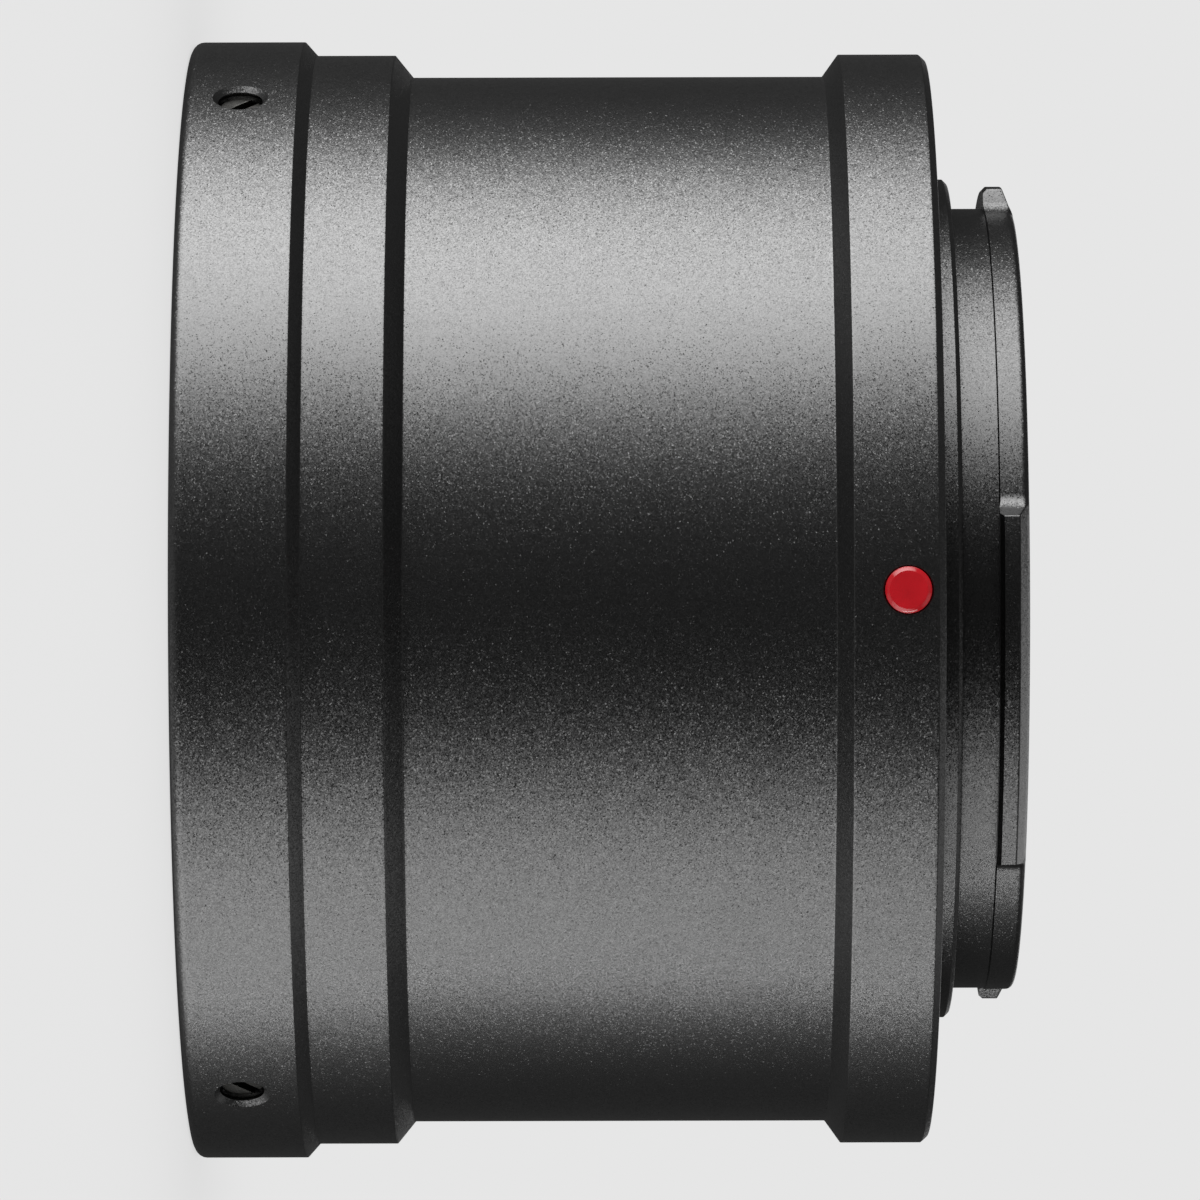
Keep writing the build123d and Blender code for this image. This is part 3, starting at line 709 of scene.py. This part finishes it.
def buildBayonetRing():
    s = bayonetShape
    e = s["edge"]
    corners = [
        (s["coreRadius"] - s["coreRound"] - s["frontRim"], s["front"], 0),
        (s["boreRadius"], s["front"], s["boreEdge"]),
        (s["boreRadius"], s["discBack"], s["boreEdge"]),
        (s["discRadius"], s["discBack"], e),
        (s["discRadius"], s["face"], s["discEdge"]),
        (s["seatRadius"], s["face"], 0),
        (s["seatRadius"], s["seatHeight"] - s["seatChamfer"], e),
        (s["seatRadius"] - s["seatChamfer"], s["seatHeight"], e),
        (s["grooveRadius"], s["seatHeight"], 0),
    ]
    shared = [tuple(p) for p in turnedOutline(corners, closed=False)]
    angles = [k * 1.0 for k in range(360)]
    fine = [s["rampStep"] * k for k in range(round((s["rampInside"] + s["rampOutside"]) / s["rampStep"]) + 1)]
    for start, end in s["lugs"]:
        angles += [(start - s["rampOutside"] + step) % 360 for step in fine]
        angles += [(end - s["rampInside"] + step) % 360 for step in fine]
    angles = sorted(set(round(a, 3) for a in angles))
    verts, faces = [], []
    rowCount = 0
    for a in angles:
        column = shared + bayonetColumn(lugReach(a))
        rowCount = len(column)
        outwards = direction(a)
        verts += [(outwards.x * r * mm, outwards.y * r * mm, z * mm) for r, z in column]
    for j in range(len(angles)):
        here, there = j * rowCount, ((j + 1) % len(angles)) * rowCount
        for i in range(rowCount):
            up = (i + 1) % rowCount
            faces.append((here + i, there + i, there + up, here + up))
    mesh = bpy.data.meshes.new("bayonetRing")
    mesh.from_pydata(verts, [], faces)
    made = finishMesh(link("bayonetRing", mesh))
    screw = bayonetScrewShape
    mouth = screw["headRadius"] + screw["sink"] + screw["headClearance"]
    hole = holeCutter("screwHole", screw["radius"] + screw["shankClearance"],
                      s["face"] - s["discBack"] + screw["holeSpare"], mouth)
    cutAway(made, ringOfParts("screwHoles", hole, anodise, 0))
    pocket = holeCutter("lockPocket", s["lockPocketRadius"], s["lockPocketDepth"], 0)
    pocket.data.transform(Matrix.Translation(direction(s["lockPocketAngle"]) * screw["circle"] * mm
                                             + Vector((0, 0, s["face"] * mm))))
    cutAway(made, pocket)
    pin = stopPinShape
    pinHole = holeCutter("pinHole", pin["radius"], s["grooveRadius"] - pin["inner"], 0)
    faceOutwards(pinHole, pin["angle"], s["grooveRadius"] * mm, pin["height"] * mm)
    cutAway(made, pinHole)
    # The ring gets the darker anodise, whose extra dark is painted shade.
    return paint(finishMesh(made, weld=cutWeldDistance), ringPaintedShadeAnodise)


bayonetRing = buildBayonetRing()
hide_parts("bayonet_ring")
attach(bayonetRing, "barrel")
print("bayonet ring cut:", len(bayonetRing.data.polygons), "faces")


# A block down from Z = 0 that narrows by the taper on each side, for screw slots and recesses.
def wedgeCutter(name, length, width, depth, taper=0.0):
    work = bmesh.new()
    bmesh.ops.create_cube(work, size=1.0)
    for vert in work.verts:
        low = vert.co.z < 0
        height = -depth if low else cutterOver
        shrink = -2 * height * tan(radians(taper))
        vert.co = Vector((vert.co.x * (length - shrink), vert.co.y * (width - shrink), height)) * mm
    mesh = bpy.data.meshes.new(name)
    work.to_mesh(mesh)
    work.free()
    return link(name, mesh)


def softenEdges(made, width, angle=50):
    modifier = made.modifiers.new("soften", "BEVEL")
    modifier.width = width * mm
    modifier.segments = 2
    modifier.limit_method = "ANGLE"
    modifier.angle_limit = radians(angle)
    return bakeModifiers(made)


def buildSetScrew(number, angle):
    s = setScrewShape
    corners = [
        (0, -s["length"], 0),
        (s["pointRadius"], -s["length"], s["pointEdge"]),
        (s["radius"], -s["length"] + s["radius"] - s["pointRadius"], s["coneEdge"]),
        (s["radius"], -s["edge"], s["endEdge"]),
        (s["radius"] - s["edge"], 0, s["endEdge"]),
        (0, 0, 0),
    ]
    made = finishMesh(turnedPiece(f"setScrew{number}", corners, blackSteel, segments=72, gap=0.6))
    slot = wedgeCutter("slot", 4 * s["radius"], s["slotWidth"], s["slotDepth"])
    slot.data.transform(Matrix.Rotation(radians(s["slotTurns"][number] - 90), 4, "Z"))
    cutAway(made, slot)
    softenEdges(finishMesh(made), s["slotEdge"])
    faceOutwards(made, angle, (s["pointAt"] + s["length"]) * mm, s["height"] * mm)
    return paint(finishMesh(made), blackSteel)


for number, angle in setScrewShape["angles"].items():
    setScrew = buildSetScrew(number, angle)
    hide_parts(f"set_screw_{number}")
    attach(setScrew, f"set_screw_{number}")
print("set screws cut")


def buildBayonetScrews():
    s = bayonetScrewShape
    top = -s["sink"]
    headHeight = s["headRadius"] - s["radius"]
    corners = [
        (0, -s["length"], 0),
        (s["radius"] - s["tipChamfer"], -s["length"], s["edge"]),
        (s["radius"], -s["length"] + s["tipChamfer"], s["edge"]),
        (s["radius"], top - headHeight, s["neckEdge"]),
        (s["headRadius"], top, s["edge"]),
        (0, top, 0),
    ]
    made = finishMesh(turnedPiece("bayonetScrew", corners, blackSteel, segments=64, gap=0.5))
    for turn in (0, 90):
        recess = wedgeCutter("recess", s["recessSpan"], s["recessWidth"], s["recessDepth"], s["recessTaper"])
        recess.data.transform(Matrix.Translation((0, 0, top * mm)) @ Matrix.Rotation(radians(turn), 4, "Z"))
        cutAway(made, recess)
    softenEdges(finishMesh(made), s["recessEdge"])
    return finishMesh(ringOfParts("bayonetScrews", made, blackSteel, pi / 2))


bayonetScrews = paint(buildBayonetScrews(), blackSteel)
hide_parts("bayonet_screws")
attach(bayonetScrews, "barrel")


def buildStopPin():
    s = stopPinShape
    length = s["outer"] - s["inner"]
    corners = [
        (0, -length, 0),
        (s["radius"], -length, s["footEdge"]),
        (s["radius"], -s["chamfer"], s["edge"]),
        (s["radius"] - s["chamfer"], 0, s["edge"]),
        (0, 0, 0),
    ]
    made = finishMesh(turnedPiece("stopPin", corners, brightSteel, segments=64, gap=0.3))
    return paint(faceOutwards(made, s["angle"], s["outer"] * mm, s["height"] * mm), brightSteel)


stopPin = buildStopPin()
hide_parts("stop_pin")
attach(stopPin, "barrel")


def buildBead():
    s = beadShape
    corners = [
        (0, -s["depth"] - s["rise"], 0),
        (s["radius"], -s["depth"] - s["rise"], s["edge"]),
        (s["radius"], -s["bevel"], s["bevelEdge"]),
        (s["radius"] - s["bevel"], 0, s["edge"]),
        (0, 0, 0),
    ]
    made = finishMesh(turnedPiece("indexBead", corners, enamel, segments=96, gap=0.3))
    faceOutwards(made, 0, (barrelShape["flangeRadius"] + s["rise"]) * mm,
                 (barrelShape["faceHeight"] - s["fromFace"]) * mm)
    return paint(made, enamel)


indexBead = buildBead()
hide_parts("index_bead")
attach(indexBead, "barrel")
print("bayonet screws, stop pin and bead fitted")


# Studio: pale floor and backdrop, and a dim surround that gets lighter above and below. The floor lies a hair under
# the part.
studio = {"paper": "#E6E6E6", "floorSize": 30.0, "floorLevel": -0.02 * mm, "floorGlow": 0.8, "dome": 1.0,
          "horizon": 0.045, "zenith": 0.14, "zenithFrom": 0.3, "zenithTo": 0.9, "nadir": 0.26, "nadirFrom": -0.45,
          "nadirTo": -0.9, "boxDistance": 0.8}
# Soft boxes light the part alone and pass through the floor. Each is brightest in its middle, as a real one is, and
# fall is the share that is lost halfway along an edge.
softBoxes = {
    "keyBox": {"angle": -72.0, "rise": -10.0, "width": 1.1, "height": 1.1, "radiance": 6.8, "fall": 0.72},
    "fillBox": {"angle": 68.0, "rise": -17.0, "width": 1.15, "height": 1.2, "radiance": 3.1, "fall": 0.9},
    "sideCard": {"angle": 89.5, "rise": 6.0, "width": 0.05, "height": 0.6, "radiance": 7.0, "fall": 0.3},
    "backCard": {"angle": 180.0, "rise": 20.0, "width": 0.4, "height": 0.36, "radiance": 1.0, "fall": 0.3},
    "rimCard": {"angle": 168.0, "rise": 44.0, "width": 0.3, "height": 0.3, "radiance": 0.75, "fall": 0.3},
    "topCard": {"angle": 100.0, "rise": 62.0, "width": 0.6, "height": 0.6, "radiance": 0.55, "fall": 0.6},
    "underCard": {"angle": 100.0, "rise": -62.0, "width": 0.6, "height": 0.6, "radiance": 0.55, "fall": 0.6},
}
litPieces = bpy.data.collections.new("litPieces")


def addSoftBox(name, s):
    lamp = bpy.data.lights.new(name, "AREA")
    lamp.shape = "RECTANGLE"
    lamp.size, lamp.size_y = s["width"], s["height"]
    lamp.energy = s["radiance"] * pi * s["width"] * s["height"]
    lamp.use_nodes = True
    tree = lamp.node_tree
    halfEdge = 0.5  # the box runs from 0 to 1 both ways
    place = addNode(tree, "ShaderNodeNewGeometry").outputs["Parametric"]
    offset = addNode(tree, "ShaderNodeVectorMath", {"operation": "SUBTRACT"}, {0: place, 1: (halfEdge, halfEdge, 0.0)})
    square = addNode(tree, "ShaderNodeVectorMath", {"operation": "DOT_PRODUCT"}, {0: offset, 1: offset})
    glow = addNode(tree, "ShaderNodeMath", {"operation": "MULTIPLY_ADD", "use_clamp": True}, {
        0: square.outputs["Value"], 1: -s["fall"] / halfEdge ** 2, 2: 1.0})
    tree.links.new(glow.outputs["Value"], tree.nodes["Emission"].inputs["Strength"])
    made = bpy.data.objects.new(name, lamp)
    bpy.context.scene.collection.objects.link(made)
    outwards = direction(s["angle"]) * cos(radians(s["rise"])) + Vector((0, 0, sin(radians(s["rise"]))))
    made.location = outwards * studio["boxDistance"] + Vector((0, 0, cameraSetup["aim"]))
    made.rotation_euler = outwards.to_track_quat("Z", "Y").to_euler()
    made.visible_camera = False
    made.light_linking.receiver_collection = litPieces
    made.light_linking.blocker_collection = litPieces


for name, s in softBoxes.items():
    addSoftBox(name, s)

floorMesh = bpy.data.meshes.new("floor")
half = studio["floorSize"] / 2
floorCorners = [(x, y, studio["floorLevel"]) for x, y in ((-half, -half), (half, -half), (half, half), (-half, half))]
floorMesh.from_pydata(floorCorners, [], [(0, 1, 2, 3)])
floor = link("floor", floorMesh)
floorMaterial, floorTree, floorShader = newMaterial("palePaper")
paper = linearColour(studio["paper"])
floorShader.inputs["Base Color"].default_value = [c * (1 - studio["floorGlow"]) for c in paper[:3]] + [1.0]
floorShader.inputs["Roughness"].default_value = 1.0
floorShader.inputs["Specular IOR Level"].default_value = 0.0
floorShader.inputs["Emission Color"].default_value = paper
floorShader.inputs["Emission Strength"].default_value = studio["floorGlow"]
# Clear from below, so that the thread can be seen from there.
clear = addNode(floorTree, "ShaderNodeBsdfTransparent")
underside = addNode(floorTree, "ShaderNodeNewGeometry").outputs["Backfacing"]
floorMix = addNode(floorTree, "ShaderNodeMixShader", None, {0: underside, 1: floorShader, 2: clear})
floorTree.links.new(floorMix.outputs["Shader"], floorTree.nodes["Material Output"].inputs["Surface"])
paint(floor, floorMaterial)
floor.visible_glossy = False  # the dark metal mirrors the surround and not the floor
floor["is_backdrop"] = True

world = bpy.data.worlds.new("studio")
bpy.context.scene.world = world
world.use_nodes = True
world.cycles.sampling_method = "NONE"
worldTree = world.node_tree
worldTree.nodes.clear()
rays = addNode(worldTree, "ShaderNodeLightPath")
backdrop = addNode(worldTree, "ShaderNodeBackground", None, {"Color": paper, "Strength": 1.0})
dome = addNode(worldTree, "ShaderNodeBackground", None, {"Color": (1, 1, 1, 1), "Strength": studio["dome"]})
facing = addNode(worldTree, "ShaderNodeSeparateXYZ", None, {0: addNode(worldTree, "ShaderNodeTexCoord")})
above = addNode(worldTree, "ShaderNodeMapRange", None, {
    "Value": facing.outputs["Z"], "From Min": studio["zenithFrom"], "From Max": studio["zenithTo"],
    "To Min": studio["horizon"], "To Max": studio["zenith"]})
below = addNode(worldTree, "ShaderNodeMapRange", None, {
    "Value": facing.outputs["Z"], "From Min": studio["nadirFrom"], "From Max": studio["nadirTo"],
    "To Min": studio["horizon"], "To Max": studio["nadir"]})
brighter = addNode(worldTree, "ShaderNodeMath", {"operation": "MAXIMUM"}, {0: above, 1: below})
dim = addNode(worldTree, "ShaderNodeBackground", None, {"Color": (1, 1, 1, 1), "Strength": brighter})
soft = addNode(worldTree, "ShaderNodeMixShader", None, {0: rays.outputs["Is Diffuse Ray"], 1: dim, 2: dome})
seen = addNode(worldTree, "ShaderNodeMixShader", None, {0: rays.outputs["Is Camera Ray"], 1: soft, 2: backdrop})
addNode(worldTree, "ShaderNodeOutputWorld", None, {"Surface": seen})

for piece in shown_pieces():
    litPieces.objects.link(piece)
print("studio lit")
